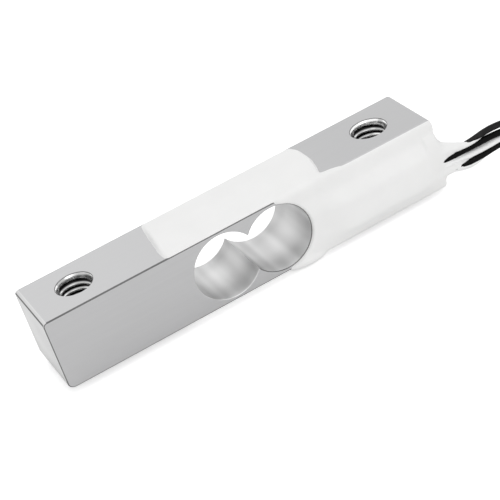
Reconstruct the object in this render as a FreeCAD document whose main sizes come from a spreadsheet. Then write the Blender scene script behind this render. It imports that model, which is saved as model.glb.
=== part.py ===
import FreeCAD, Part
import math
import os
import re
import Sketcher

# Single point load cell: a square aluminium bar with two crossing bores that leave
# four thin bending walls, strain gauges over those walls, and one cured mass of white
# silicone over the gauges and wiring. Four thin leads come out at the fixed end.
# Frame: X along the bar towards the lead end, Y across it with the wired face at -Y,
# Z up. The origin is on the bar's lower face, midway between the two tapped holes.

os.makedirs("parts", exist_ok=True)
doc = FreeCAD.newDocument("LoadCell")
vector = FreeCAD.Vector

# driving sizes, in millimetres
sheet = doc.addObject("Spreadsheet::Sheet", "Sizes")
sizes = {
    "beamLength": 70.0,
    "beamWidth": 12.7,
    "beamHeight": 12.7,
    "lowerCornerRadius": 1.6,
    "upperCornerRadius": 0.5,
    "edgeBreak": 0.2,
    "boreDiameter": 11.4,
    "boreSpacing": 9.5,
    "holeInset": 8.0,
    "tapDrill": 5.0,
    "countersinkDiameter": 6.6,
    "countersinkDepth": 0.46,
    "gaugeLength": 6.0,
    "gaugeWidth": 3.2,
    "carrierThickness": 0.06,
    "foilThickness": 0.03,
    "gridLength": 2.8,
    "gridLineWidth": 0.12,
    "gridPitch": 0.24,
    "gridLines": 7,
    "tabSize": 0.8,
    "tabSpacing": 1.8,
    "tabMargin": 0.4,
    "stripGap": 2.3,
    "stripLength": 4.0,
    "stripWidth": 5.6,
    "stripThickness": 0.1,
    "padInset": 0.6,
    "padSetback": 0.55,
    "boardGap": 0.45,
    "boardLength": 7.7,
    "boardLow": 2.2,
    "boardTall": 5.5,
    "resistorLength": 1.6,
    "resistorWidth": 0.8,
    "resistorThickness": 0.45,
    "resistorOffset": 0.6,
    "jointRadius": 0.34,
    "jointRise": 0.34,
    "leadJointRadius": 0.48,
    "fineWireDiameter": 0.16,
    "fineWireRise": 0.2,
    "edgeBend": 0.35,
    "jumperPitch": 0.95,
    "jumperInset": 0.5,
    "jumperSideStep": 0.7,
    "jumperBend": 0.35,
    "jumperLean": 2.3,
    "coverStart": 13.6,
    "coverEnd": 15.4,
    "coverFarThickness": 0.14,
    "coverNearThickness": 0.38,
    "coverCrownRadius": 31.0,
    "coverCornerRadius": 2.2,
    "coverWrap": 0.5,
    "coatEdgeThickness": 0.36,
    "coatEdgeHeight": 0.6,
    "coatCrown": 1.4,
    "coatCrownLow": 2.6,
    "coatCrownHigh": 7.3,
    "coatCrownRadius": 5.5,
    "coatFoot": 10.3,
    "rimGap": 0.12,
    "rimFlare": 1.1,
    "undersideThickness": 1.1,
    "undersideInset": 1.6,
    "undersideEdge": 0.7,
    "lipPlace": 8.7,
    "lipLength": 7.2,
    "lipReach": 0.65,
    "lipSetback": 0.6,
    "neckLength": 4.7,
    "neckOffset": 0.25,
    "leadDiameter": 1.1,
    "leadPitch": 1.12,
    "conductorDiameter": 0.55,
    "tipLength": 5.0,
    "hankStart": 59.5,
    "hankRun": 37.5,
    "hankLastRun": 31.0,
    "hankRadius": 6.6,
    "hankTurnPitch": 2.35,
    "tieThickness": 0.35,
    "tieWidth": 3.0,
    "tieTwistLength": 3.5,
    "tieTwistFoot": 0.55,
    "tieTwistTip": 0.4,
}
for row, (alias, number) in enumerate(sizes.items(), start=1):
    sheet.set("A%d" % row, alias)
    sheet.set("B%d" % row, str(number))
    sheet.setAlias("B%d" % row, alias)
doc.recompute()

bite = 0.3  # how far a silicone body reaches into the bar before the bar is cut from it


def full(formula):
    """A formula in which each size is written as its cell of the sheet."""
    word = lambda match: "Sizes." + match.group() if match.group() in sizes else match.group()
    return re.sub(r"[A-Za-z]\w*", word, formula)


def worth(formula):
    """The number, in millimetres, that a formula of sizes gives."""
    result = sheet.evalExpression(full(formula))
    return float(getattr(result, "Value", result))


def bind(thing, **formulas):
    for name, formula in formulas.items():
        thing.setExpression(name, full(formula))


def place(thing, x="0", y="0", z="0"):
    """Put a document object at a point given by three formulas."""
    thing.setExpression("Placement.Base.x", full(x))
    thing.setExpression("Placement.Base.y", full(y))
    thing.setExpression("Placement.Base.z", full(z))


def newBody(label):
    body = doc.addObject("PartDesign::Body", label)
    body.Label = label
    return body


def originFeature(body, role):
    return next(f for f in body.Origin.OriginFeatures if f.Role == role)


def newSketch(body, name, role, right="0", up="0", out="0"):
    """A sketch on one of the body's own planes, moved by formulas in the sketch's axes."""
    sketch = body.newObject("Sketcher::SketchObject", name)
    sketch.AttachmentSupport = [(originFeature(body, role), "")]
    sketch.MapMode = "FlatFace"
    sketch.setExpression("AttachmentOffset.Base.x", full(right))
    sketch.setExpression("AttachmentOffset.Base.y", full(up))
    sketch.setExpression("AttachmentOffset.Base.z", full(out))
    return sketch


def outline(sketch, corners):
    """Draw a closed outline through corners, given as pairs of formulas. A corner with a
    third formula starts an arc of that radius to the next corner, which bulges to the
    right of the way it runs, or to the left if the formula starts with a minus sign."""
    points = [vector(worth(c[0]), worth(c[1]), 0) for c in corners]
    firsts = []
    for i, corner in enumerate(corners):
        a, b = points[i], points[(i + 1) % len(points)]
        if len(corner) == 2:
            sketch.addGeometry(Part.LineSegment(a, b), False)
            firsts.append((i, 1, 2))
            continue
        radius = abs(worth(corner[2]))
        side = -1 if corner[2].startswith("-") else 1
        along = b - a
        sagitta = radius - math.sqrt(radius**2 - (along.Length / 2) ** 2)
        outwards = vector(along.y, -along.x, 0).normalize() * side
        arc = Part.Arc(a, (a + b) / 2 + outwards * sagitta, b)
        sketch.addGeometry(arc, False)
        starts = sketch.getPoint(i, 1).distanceToPoint(a) < sketch.getPoint(i, 2).distanceToPoint(a)
        firsts.append((i, 1, 2) if starts else (i, 2, 1))
    for i, corner in enumerate(corners):
        geometry, first, _ = firsts[i]
        before, _, last = firsts[i - 1]
        sketch.addConstraint(Sketcher.Constraint("Coincident", before, last, geometry, first))
        for kind, formula in zip(("DistanceX", "DistanceY"), corner[:2]):
            row = sketch.addConstraint(
                Sketcher.Constraint(kind, -1, 1, geometry, first, worth(formula))
            )
            sketch.setExpression("Constraints[%d]" % row, full(formula))
        if len(corner) == 3:
            formula = corner[2].lstrip("-")
            row = sketch.addConstraint(Sketcher.Constraint("Radius", geometry, worth(formula)))
            sketch.setExpression("Constraints[%d]" % row, full(formula))


def circle(sketch, x, y, diameter):
    """Draw a full circle with its centre and diameter given by formulas."""
    centre = vector(worth(x), worth(y), 0)
    round_ = Part.Circle(centre, vector(0, 0, 1), worth(diameter) / 2)
    geometry = sketch.addGeometry(round_, False)
    for kind, formula in (("DistanceX", x), ("DistanceY", y)):
        row = sketch.addConstraint(Sketcher.Constraint(kind, -1, 1, geometry, 3, worth(formula)))
        sketch.setExpression("Constraints[%d]" % row, full(formula))
    row = sketch.addConstraint(Sketcher.Constraint("Diameter", geometry, worth(diameter)))
    sketch.setExpression("Constraints[%d]" % row, full(diameter))


def pad(body, sketch, name, length, midplane=False):
    feature = body.newObject("PartDesign::Pad", name)
    feature.Profile = sketch
    feature.Midplane = midplane
    feature.setExpression("Length", full(length))
    doc.recompute()
    return feature


def pocketThrough(body, sketch, name):
    before = body.Shape.Volume
    feature = body.newObject("PartDesign::Pocket", name)
    feature.Profile = sketch
    feature.Midplane = True
    feature.Type = "ThroughAll"
    doc.recompute()
    if not body.Shape.Volume < before:
        raise RuntimeError(name + " cuts nothing")
    return feature


def edgesWhere(feature, test):
    """Names of a feature's edges whose two ends and middle all pass a test."""
    names = []
    for number, edge in enumerate(feature.Shape.Edges, start=1):
        middle = edge.valueAt((edge.FirstParameter + edge.LastParameter) / 2)
        if all(test(p) for p in [v.Point for v in edge.Vertexes] + [middle]):
            names.append("Edge%d" % number)
    return names


def solidPart(label, shape, base=vector(0, 0, 0)):
    """A sub-part whose shape is worked out here from the sheet's sizes."""
    part = doc.addObject("Part::Feature", label)
    part.Label = label
    part.Shape = shape
    part.Placement = FreeCAD.Placement(base, FreeCAD.Rotation())
    return part


subParts = []


# the bar


def makeBeam():
    body = newBody("beam")
    half, low, high = "beamLength / 2", "lowerCornerRadius", "upperCornerRadius"
    side = newSketch(body, "beam_side", "XZ_Plane")
    outline(side, [
        ("-" + half + " + " + low, "0"),
        (half + " - " + low, "0", low),
        (half, low),
        (half, "beamHeight - " + high, high),
        (half + " - " + high, "beamHeight"),
        ("-" + half + " + " + high, "beamHeight", high),
        ("-" + half, "beamHeight - " + high),
        ("-" + half, low, low),
    ])
    block = pad(body, side, "beam_block", "beamWidth", midplane=True)
    width = worth("beamWidth") / 2
    broken = body.newObject("PartDesign::Chamfer", "beam_edges")
    broken.Base = (block, edgesWhere(block, lambda p: abs(abs(p.y) - width) < 1e-6))
    broken.setExpression("Size", full("edgeBreak"))
    doc.recompute()
    for name, sign in (("left_bore", "-"), ("right_bore", "")):
        sketch = newSketch(body, name + "_circle", "XZ_Plane")
        circle(sketch, sign + "boreSpacing / 2", "beamHeight / 2", "boreDiameter")
        pocketThrough(body, sketch, name)
    before = body.Shape.Volume
    hole = newSketch(body, "tapped_hole_half", "XZ_Plane", right="-beamLength / 2 + holeInset")
    mouth, drill, deep = "countersinkDiameter / 2", "tapDrill / 2", "countersinkDepth"
    outline(hole, [
        ("0", "0"),
        (mouth, "0"),
        (drill, deep),
        (drill, "beamHeight - " + deep),
        (mouth, "beamHeight"),
        ("0", "beamHeight"),
    ])
    cut = body.newObject("PartDesign::Groove", "tapped_hole")
    cut.Profile = hole
    cut.ReferenceAxis = (hole, ["V_Axis"])
    cut.Angle = 360
    doc.recompute()
    row = body.newObject("PartDesign::LinearPattern", "tapped_hole_row")
    row.Originals = [cut]
    row.Direction = (originFeature(body, "X_Axis"), [""])
    row.Occurrences = 2
    row.setExpression("Length", full("beamLength - 2 * holeInset"))
    body.Tip = row
    doc.recompute()
    holes = 2 * math.pi * worth("tapDrill / 2") ** 2 * worth("beamHeight - 2 * countersinkDepth")
    if before - body.Shape.Volume < holes:
        raise RuntimeError("a tapped hole is missing")
    return body


beam = makeBeam()
subParts.append(beam)


# strain gauges: a polyimide carrier over each thin wall, with an etched foil grid on it


def makeCarrier(label, sign, upper):
    box = doc.addObject("Part::Box", label)
    box.Label = label
    bind(box, Length="gaugeLength", Width="gaugeWidth", Height="carrierThickness")
    level = "beamHeight" if upper else "-carrierThickness"
    place(box, sign + "boreSpacing / 2 - gaugeLength / 2", "-gaugeWidth / 2", level)
    return box


def gridShape():
    """A meander of fine lines along X that ends in two solder tabs, drawn on z = 0."""
    lines = int(round(worth("gridLines")))
    pitch, width = worth("gridPitch"), worth("gridLineWidth")
    length, thick = worth("gridLength"), worth("foilThickness")
    tab = worth("tabSize")
    left = worth("tabMargin - gaugeLength / 2")
    tabLeft = worth("gaugeLength / 2 - tabMargin - tabSize")
    lowest = -(lines - 1) / 2 * pitch
    pieces = []
    for i in range(lines):
        y = lowest + i * pitch
        right = tabLeft if i in (0, lines - 1) else left + length
        pieces.append(Part.makeBox(right - left, width, thick, vector(left, y - width / 2, 0)))
        if i < lines - 1:
            end = left if i % 2 == 0 else left + length - width
            turn = vector(end, y - width / 2, 0)
            pieces.append(Part.makeBox(width, pitch + width, thick, turn))
    for side in (-1, 1):
        y = side * worth("tabSpacing") / 2
        pieces.append(Part.makeBox(tab, tab, thick, vector(tabLeft, y - tab / 2, 0)))
    return pieces[0].multiFuse(pieces[1:]).removeSplitter()


def makeFoil(label, sign, upper):
    rise = worth("carrierThickness")
    level = worth("beamHeight") + rise if upper else -rise - worth("foilThickness")
    return solidPart(label, gridShape(), vector(sign * worth("boreSpacing") / 2, 0, level))


for upper, face in ((True, "top"), (False, "bottom")):
    for sign, side in ((-1, "left"), (1, "right")):
        text = "-" if sign < 0 else ""
        subParts.append(makeCarrier("gauge_carrier_%s_%s" % (face, side), text, upper))
        subParts.append(makeFoil("gauge_foil_%s_%s" % (face, side), sign, upper))


# terminal strips beside the gauges, and the board on the wired side that the leads meet

stripStart = "boreSpacing / 2 + gaugeLength / 2 + stripGap"
boardStart = "boreSpacing / 2 + boreDiameter / 2 + boardGap"
leadStart = worth(boardStart + " + boardLength + stripThickness")


def makeStrip(label, upper):
    box = doc.addObject("Part::Box", label)
    box.Label = label
    bind(box, Length="stripLength", Width="stripWidth", Height="stripThickness")
    place(box, stripStart, "-stripWidth / 2", "beamHeight" if upper else "-stripThickness")
    return box


def makeSideBoard():
    box = doc.addObject("Part::Box", "lead_board")
    box.Label = "lead_board"
    bind(box, Length="boardLength", Width="stripThickness", Height="boardTall")
    place(box, boardStart, "-beamWidth / 2 - stripThickness", "boardLow")
    return box


def makeResistor():
    box = doc.addObject("Part::Box", "balance_resistor")
    box.Label = "balance_resistor"
    bind(box, Length="resistorLength", Width="resistorThickness", Height="resistorWidth")
    place(
        box,
        boardStart + " + boardLength / 2 - resistorLength / 2 + resistorOffset",
        "-beamWidth / 2 - stripThickness - resistorThickness",
        "boardLow + boardTall / 2 - resistorWidth / 2",
    )
    return box


subParts.append(makeStrip("terminal_strip_top", True))
subParts.append(makeStrip("terminal_strip_bottom", False))
subParts.append(makeSideBoard())
subParts.append(makeResistor())


# the four leads: where each one runs, from the board to the coil of its spare length

faceY = -worth("beamWidth") / 2
layY = faceY - worth("leadDiameter") / 2
pitch = worth("leadPitch")
bundleTop = layY + pitch / 2
bundleUnder = layY - pitch / 2
restLevel = -worth("undersideThickness")
lowRow = restLevel + worth("tieThickness") + worth("leadDiameter") / 2
highRow = lowRow + pitch
bundleHalf = (pitch + worth("leadDiameter")) / 2
entry = worth("hankStart")
leadRoutes = {
    "lead_excitation_plus": [
        (leadStart, layY, 6.35), (28.5, layY, 6.5), (44.0, layY, 5.95),
        (51.2, -6.5, 4.0), (56.5, bundleTop, highRow), (entry, bundleTop, highRow),
    ],
    "lead_excitation_minus": [
        (leadStart, layY, 5.2), (28.5, layY, 5.38), (44.0, layY, 4.5),
        (51.2, -7.4, 2.8), (56.5, bundleUnder, highRow), (entry, bundleUnder, highRow),
    ],
    "lead_signal_plus": [
        (leadStart, layY, 4.05), (28.5, layY, 4.24), (44.0, layY, 3.3),
        (50.8, -7.4, 1.6), (56.0, bundleUnder, lowRow), (entry, bundleUnder, lowRow),
    ],
    "lead_signal_minus": [
        (leadStart, layY, 2.9), (28.5, layY, 3.1), (44.0, layY, 2.1),
        (50.8, -6.4, 0.7), (56.0, bundleTop, lowRow), (entry, bundleTop, lowRow),
    ],
}


def routeTube(label, points, diameter):
    """A tube along straight runs joined by tangent arcs. Prints the arcs' radii."""
    points = [vector(*p) for p in points]
    edges, radii, reached = [], [], points[0]
    for i in range(1, len(points) - 1):
        back = points[i - 1] - points[i]
        on = points[i + 1] - points[i]
        shorter = min(back.Length, on.Length)
        turn = math.pi - back.getAngle(on)
        radius = 0.45 * shorter / math.tan(turn / 2)
        radii.append(round(radius, 1))
        a = points[i] + back.normalize() * (0.45 * shorter)
        b = points[i] + on.normalize() * (0.45 * shorter)
        inner = (back + on).normalize()
        middle = points[i] + inner * (radius / math.cos(turn / 2) - radius)
        edges.append(Part.LineSegment(reached, a).toShape())
        edges.append(Part.Arc(a, middle, b).toShape())
        reached = b
    edges.append(Part.LineSegment(reached, points[-1]).toShape())
    path = Part.Wire(edges)
    ring = Part.Circle(points[0], points[1] - points[0], diameter / 2).toShape()
    tube = path.makePipeShell([Part.Wire([ring])], True, False)
    expected = math.pi * diameter**2 / 4 * path.Length
    if abs(tube.Volume / expected - 1) > 0.01:
        raise RuntimeError("%s has volume %.1f, not %.1f" % (label, tube.Volume, expected))
    if label.startswith("lead"):
        print(label, "arc radii", radii, "length", round(path.Length, 1))
    return tube


leads = {}
for label, points in leadRoutes.items():
    leads[label] = routeTube(label, points, worth("leadDiameter"))
    subParts.append(solidPart(label, leads[label]))


# solder joints, as low cones that each wire ends in, and the fine wires between them

jumperStart = -worth("tabSpacing / 2 + jumperSideStep")


def ring(centre, axis, radius, sides):
    """A regular polygon round an axis, which keeps the smallest pieces to flat faces."""
    turn = FreeCAD.Rotation(vector(0, 0, 1), axis)
    corners = []
    for i in range(sides + 1):
        angle = 2 * math.pi * (i + 0.5) / sides
        spoke = vector(radius * math.cos(angle), radius * math.sin(angle), 0)
        corners.append(centre + turn.multVec(spoke))
    return Part.makePolygon(corners)


def joint(x, y, z, outwards, radius):
    foot = vector(x, y, z)
    crown = foot + outwards * worth("jointRise")
    return Part.makeLoft([ring(foot, outwards, radius, 8), ring(crown, outwards, radius / 2, 8)],
                         True, True)


def fineWire(points):
    """An enamelled wire along straight runs, mitred where they meet."""
    path = Part.makePolygon(points)
    section = ring(points[0], points[1] - points[0], worth("fineWireDiameter") / 2, 6)
    mitred = 1
    return path.makePipeShell([section], True, False, mitred)


def makeFaceWiring(face, upper):
    """Solder joints and enamelled gauge wires on the bar's upper or lower face."""
    up = vector(0, 0, 1 if upper else -1)
    surface = worth("beamHeight") if upper else 0.0
    lift = lambda height: surface + up.z * height
    radius, rise = worth("jointRadius"), worth("fineWireRise")
    strip = worth(stripStart)
    joints, wires = [], []
    tabPlace = worth("gaugeLength / 2 - tabMargin - tabSize / 2")
    onFoil = lift(worth("carrierThickness + foilThickness"))
    onStrip = lift(worth("stripThickness"))
    for bore in (-1, 1):
        tabX = bore * worth("boreSpacing") / 2 + tabPlace
        for side in (-1, 1):
            tabY = side * worth("tabSpacing") / 2
            padY = tabY if bore > 0 else side * worth("stripWidth / 2 - padInset")
            padX = strip + worth("padSetback")
            joints.append(joint(tabX, tabY, onFoil, up, radius))
            joints.append(joint(padX, padY, onStrip, up, radius))
            level = lift(rise)
            run = [vector(tabX, tabY, level), vector(padX, padY, level)]
            if bore < 0:
                run.insert(1, vector(tabX + abs(padY - tabY), padY, level))
            wires.append(fineWire(run))
    for x in jumperPlaces():
        joints.append(joint(x, jumperStart, onStrip, up, radius))
    return joints, wires


def jumperPlaces():
    """Where the three jumpers of a face stand along the bar."""
    first = worth(boardStart + " + jumperInset")
    return [first + i * worth("jumperPitch") for i in range(3)]


def makeJumpers(upper):
    """Fine wires from a face's strip, round the bar's near edge, to the lead board. The
    lower ones lean towards the bore, where the silicone covers the bar's lower edge."""
    up = 1 if upper else -1
    surface = worth("beamHeight") if upper else 0.0
    level = surface + up * worth("fineWireRise")
    skin = faceY - worth("fineWireRise")
    bend = worth("jumperBend")
    endZ = worth("boardLow + boardTall - jumperInset" if upper else "boardLow + jumperInset")
    lean = 0.0 if upper else worth("jumperLean")
    wires, ends = [], []
    for x in jumperPlaces():
        run = [
            vector(x, jumperStart, level),
            vector(x - lean, skin + 2 * bend, level),
            vector(x - lean, skin + bend, level),
            vector(x - lean, skin, level - up * bend),
            vector(x - lean, skin, level - up * 2 * bend),
            vector(x, skin, endZ),
        ]
        if upper:
            run = [run[0], run[2], run[3], run[5]]
        wires.append(fineWire(run))
        ends.append(joint(x, faceY - worth("stripThickness"), endZ, vector(0, -1, 0),
                          worth("jointRadius")))
    return wires, ends


def endedIn(wires, joints):
    """The wires as separate solids, each cut back to the joints that it ends in."""
    return Part.makeCompound([w.cut(joints) for w in wires])


topJoints, topWires = makeFaceWiring("top", True)
bottomJoints, bottomWires = makeFaceWiring("bottom", False)
topJumpers, boardJoints = makeJumpers(True)
bottomJumpers, lowerBoardJoints = makeJumpers(False)
boardJoints += lowerBoardJoints
for points in leadRoutes.values():
    boardJoints.append(joint(leadStart - worth("leadJointRadius"), faceY - worth("stripThickness"),
                             points[0][2], vector(0, -1, 0), worth("leadJointRadius")))
wiring = [
    ("solder_joints_top", Part.makeCompound(topJoints)),
    ("solder_joints_bottom", Part.makeCompound(bottomJoints)),
    ("solder_joints_board", Part.makeCompound(boardJoints)),
    ("gauge_wires_top", endedIn(topWires, topJoints)),
    ("gauge_wires_bottom", endedIn(bottomWires, bottomJoints)),
    ("bridge_jumpers_top", endedIn(topJumpers, topJoints + boardJoints)),
    ("bridge_jumpers_bottom", endedIn(bottomJumpers, bottomJoints + boardJoints)),
]
for label, shape in wiring:
    subParts.append(solidPart(label, shape))


# the silicone: plain bodies that overlap each other and the bar, joined and then cut


def makeUpperCover():
    body = newBody("upper_cover")
    section = newSketch(body, "upper_cover_section", "YZ_Plane", out="-coverStart")
    far, near = "beamWidth / 2 - edgeBreak", "-beamWidth / 2 + edgeBend"
    low = "beamHeight - %g" % bite
    skin = "-beamWidth / 2 - coverNearThickness"
    outline(section, [
        (far, low),
        (far, "beamHeight + coverFarThickness", "coverCrownRadius"),
        (near, "beamHeight + coverNearThickness", "edgeBend + coverNearThickness"),
        (skin, "beamHeight - edgeBend"),
        (skin, "beamHeight - coverWrap"),
        ("-beamWidth / 2 + %g" % bite, "beamHeight - coverWrap"),
        ("-beamWidth / 2 + %g" % bite, low),
    ])
    long = pad(body, section, "upper_cover_strip", "coverStart + coverEnd")
    corner = body.newObject("PartDesign::Fillet", "upper_cover_corner")
    right, far = worth("coverEnd"), worth("beamWidth / 2 - edgeBreak")
    upright = lambda p: abs(p.x - right) < 1e-6 and abs(p.y - far) < 1e-6
    corner.Base = (long, edgesWhere(long, upright))
    corner.setExpression("Radius", full("coverCornerRadius"))
    doc.recompute()
    return body


def makeSideCoat():
    body = newBody("side_coat")
    section = newSketch(body, "side_coat_section", "YZ_Plane", out="boreSpacing / 2")
    inner = "-beamWidth / 2 + %g" % bite
    edge = "-beamWidth / 2 - coatEdgeThickness"
    crown = "-beamWidth / 2 - coatCrown"
    outline(section, [
        (inner, "edgeBreak"),
        (inner, "beamHeight - edgeBreak"),
        (edge, "beamHeight - edgeBreak"),
        (edge, "coatFoot", "-2 * coatCrownRadius"),
        (crown, "coatCrownHigh", "coatCrownRadius"),
        (crown, "coatCrownLow"),
        (edge, "edgeBreak + coatEdgeHeight"),
        (edge, "edgeBreak"),
    ])
    pad(body, section, "side_coat_strip", "beamLength / 2 - boreSpacing / 2")
    rim = newSketch(body, "side_coat_rim_half", "XY_Plane", right="boreSpacing / 2",
                    out="beamHeight / 2")
    start = "boreDiameter / 2 + rimGap"
    outline(rim, [
        ("0", "0"),
        (start, "0"),
        (start, "-beamWidth / 2 - rimGap"),
        (start + " + rimFlare", "-beamWidth / 2 - 2 * coatCrown"),
        ("0", "-beamWidth / 2 - 2 * coatCrown"),
    ])
    before = body.Shape.Volume
    cut = body.newObject("PartDesign::Groove", "side_coat_rim")
    cut.Profile = rim
    cut.ReferenceAxis = (rim, ["V_Axis"])
    cut.Angle = 360
    doc.recompute()
    if not body.Shape.Volume < before:
        raise RuntimeError("the coat isn't cut back from the bore")
    return body


def makeUndersideCover():
    body = newBody("underside_cover")
    plan = newSketch(body, "underside_plan", "XY_Plane", out="-undersideThickness")
    start, end = "-coverStart", "coverEnd"
    near, far = "-beamWidth / 2 + undersideInset", "beamWidth / 2 - undersideInset"
    radius = "coverCornerRadius"
    outline(plan, [
        (start + " + " + radius, near),
        (end + " - " + radius, near, radius),
        (end, near + " + " + radius),
        (end, far + " - " + radius, radius),
        (end + " - " + radius, far),
        (start + " + " + radius, far, radius),
        (start, far + " - " + radius),
        (start, near + " + " + radius, radius),
    ])
    block = pad(body, plan, "underside_block", "undersideThickness + %g" % bite)
    eased = body.newObject("PartDesign::Chamfer", "underside_edge")
    eased.Base = (block, edgesWhere(block, lambda p: abs(p.z - restLevel) < 1e-6))
    eased.setExpression("Size", full("undersideEdge"))
    doc.recompute()
    return body


def makeLip():
    """The bead that hangs over the lower near edge beside the right bore."""
    bead = doc.addObject("Part::Ellipsoid", "silicone_lip")
    bind(bead, Radius1="undersideThickness", Radius2="lipLength / 2",
         Radius3="undersideInset + lipReach - lipSetback")
    bead.Angle1, bead.Angle2, bead.Angle3 = -90, 90, 360
    place(bead, "lipPlace", "-beamWidth / 2 + lipSetback", "0")
    return bead


def makeNeck():
    """The tapering plug of silicone round the leads where they leave the bar's end."""
    sections = []
    for number, (share, centre, halfTall, halfWide) in enumerate(
        [(-0.08, 5.45, 3.7, 0.8), (0.35, 4.75, 2.95, 0.74), (1.0, 4.3, 2.4, 0.66)]
    ):
        ring = doc.addObject("Part::Ellipse", "neck_section_%d" % number)
        ring.MajorRadius, ring.MinorRadius = halfTall, halfWide
        ring.Placement.Rotation = FreeCAD.Rotation(vector(0, 1, 0), -90)
        place(ring, "beamLength / 2 + neckLength * %g" % share,
              "-beamWidth / 2 - neckOffset", "%g" % centre)
        sections.append(ring)
    neck = doc.addObject("Part::Loft", "silicone_neck")
    neck.Sections = sections
    neck.Solid = True
    return neck


def makeSilicone():
    joined = doc.addObject("Part::MultiFuse", "silicone_joined")
    joined.Shapes = [makeUpperCover(), makeSideCoat(), makeUndersideCover(), makeLip(), makeNeck()]
    doc.recompute()
    held = [part.Shape for part in subParts]
    cured = joined.Shape.cut(held)
    solids = sorted(cured.Solids, key=lambda s: s.Volume)
    return solidPart("silicone_coating", solids[-1])


subParts.append(makeSilicone())


# the spare length: one flat hank of the four leads, its tie, and the bare tinned ends

hankEnd = worth("hankStart + hankRun")
leadsEnd = worth("hankStart + hankRun - hankLastRun")
hankFloor = restLevel + worth("tieThickness")
tall = 2 * bundleHalf


def laidAt(halfTurns):
    """Where the bundle's middle lies across the hank after so many half turns."""
    side = -1 if halfTurns % 2 == 0 else 1
    reach = worth("hankRadius") - halfTurns * worth("hankTurnPitch") / 2
    return layY + worth("hankRadius") + side * reach


near, far = laidAt(0) - bundleHalf, laidAt(1) + bundleHalf
innerNear, innerFar = laidAt(2) + bundleHalf, laidAt(3) - bundleHalf


def slab(startX, endX, low, high):
    return Part.makeBox(endX - startX, high - low, tall, vector(startX, low, hankFloor))


def disc(x, low, high):
    return Part.makeCylinder((high - low) / 2, tall, vector(x, (low + high) / 2, hankFloor))


def makeCoil():
    """The four leads' turns as one solid: one and a half flat turns and a last run back."""
    start, firstFar = worth("hankStart"), laidAt(1) - bundleHalf
    outside = slab(start, hankEnd, near, far).fuse(
        [disc(hankEnd, near, far), disc(start, laidAt(2) - bundleHalf, far)])
    inside = slab(start, hankEnd, innerNear, innerFar).fuse(
        [disc(hankEnd, innerNear, innerFar), disc(start, innerNear, firstFar),
         slab(start, leadsEnd, innerNear, firstFar)])
    return outside.cut(inside).removeSplitter()


def makeTie():
    """A flat twist tie round the hank, with its two ends twisted upright."""
    thick, width = worth("tieThickness"), worth("tieWidth")
    x = (worth("hankStart") + hankEnd) / 2
    corner = vector(x - width / 2, near - thick, restLevel)
    band = Part.makeBox(width, far - near + 2 * thick, tall + 2 * thick, corner)
    band = band.cut(slab(x - width, x + width, near, far))
    twist = Part.makeCone(worth("tieTwistFoot"), worth("tieTwistTip"), worth("tieTwistLength"),
                          vector(x, (near + far) / 2, hankFloor + tall))
    return band.fuse(twist).removeSplitter()


def makeTips():
    """Bare tinned conductor ends that stand out of the last run's end."""
    spread = {"lead_excitation_plus": (-1, 1), "lead_excitation_minus": (1, 1),
              "lead_signal_plus": (1, 0), "lead_signal_minus": (-1, 0)}
    tips = {}
    for label, (outer, upper) in spread.items():
        start = vector(leadsEnd, laidAt(3) + outer * pitch / 2, lowRow + upper * pitch)
        tips[label.replace("lead", "tinned_end")] = Part.makeCylinder(
            worth("conductorDiameter") / 2, worth("tipLength"), start, vector(-1, 0, 0))
    return tips


subParts.append(solidPart("lead_coil", makeCoil()))
subParts.append(solidPart("coil_tie", makeTie()))
for label, tip in makeTips().items():
    subParts.append(solidPart(label, tip))


# check everything, then write one file for each sub-part

doc.recompute()
for thing in doc.Objects:
    if "Invalid" in thing.State or "Error" in thing.State:
        raise RuntimeError("%s is %s" % (thing.Name, thing.State))
for part in subParts:
    shape = part.Shape
    if shape.isNull() or not shape.isValid() or not shape.Solids:
        raise RuntimeError("%s has no valid solid" % part.Label)
for part in subParts:
    part.Shape.exportStep("parts/%s.step" % part.Label)
    print("%-26s %2d solid(s) %10.3f mm3" % (part.Label, len(part.Shape.Solids), part.Shape.Volume))
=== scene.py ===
import math

import bmesh
import bpy
import numpy as np
from mathutils import Matrix, Vector


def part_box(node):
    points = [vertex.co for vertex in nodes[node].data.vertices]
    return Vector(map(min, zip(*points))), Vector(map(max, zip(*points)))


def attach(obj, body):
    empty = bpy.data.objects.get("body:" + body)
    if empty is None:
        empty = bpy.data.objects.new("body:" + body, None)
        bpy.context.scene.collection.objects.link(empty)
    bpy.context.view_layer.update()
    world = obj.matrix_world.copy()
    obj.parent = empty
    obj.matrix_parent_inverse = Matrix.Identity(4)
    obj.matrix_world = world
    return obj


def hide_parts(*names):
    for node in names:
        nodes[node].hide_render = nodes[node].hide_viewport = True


# Single point load cell: a milled aluminium bar, white silicone over its gauges and
# wiring, and four thin leads. Blender works in metres; mm turns millimetres into metres.
mm = 0.001
weldDistance = 1e-7
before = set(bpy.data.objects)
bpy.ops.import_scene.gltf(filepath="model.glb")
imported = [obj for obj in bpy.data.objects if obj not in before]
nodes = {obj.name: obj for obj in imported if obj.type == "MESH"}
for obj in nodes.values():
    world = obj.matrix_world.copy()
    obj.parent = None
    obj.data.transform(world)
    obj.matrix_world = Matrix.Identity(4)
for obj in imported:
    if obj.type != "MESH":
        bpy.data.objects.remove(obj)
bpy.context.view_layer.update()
root = "root"


# meshes and modifiers

def linkThing(name, data):
    thing = bpy.data.objects.new(name, data)
    bpy.context.scene.collection.objects.link(thing)
    return thing


def addMesh(name, vertices, faces, smooth=True):
    mesh = bpy.data.meshes.new(name)
    mesh.from_pydata([tuple(v) for v in vertices], [], [tuple(f) for f in faces])
    mesh.validate()
    mesh.polygons.foreach_set("use_smooth", [smooth] * len(mesh.polygons))
    return linkThing(name, mesh)


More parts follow.
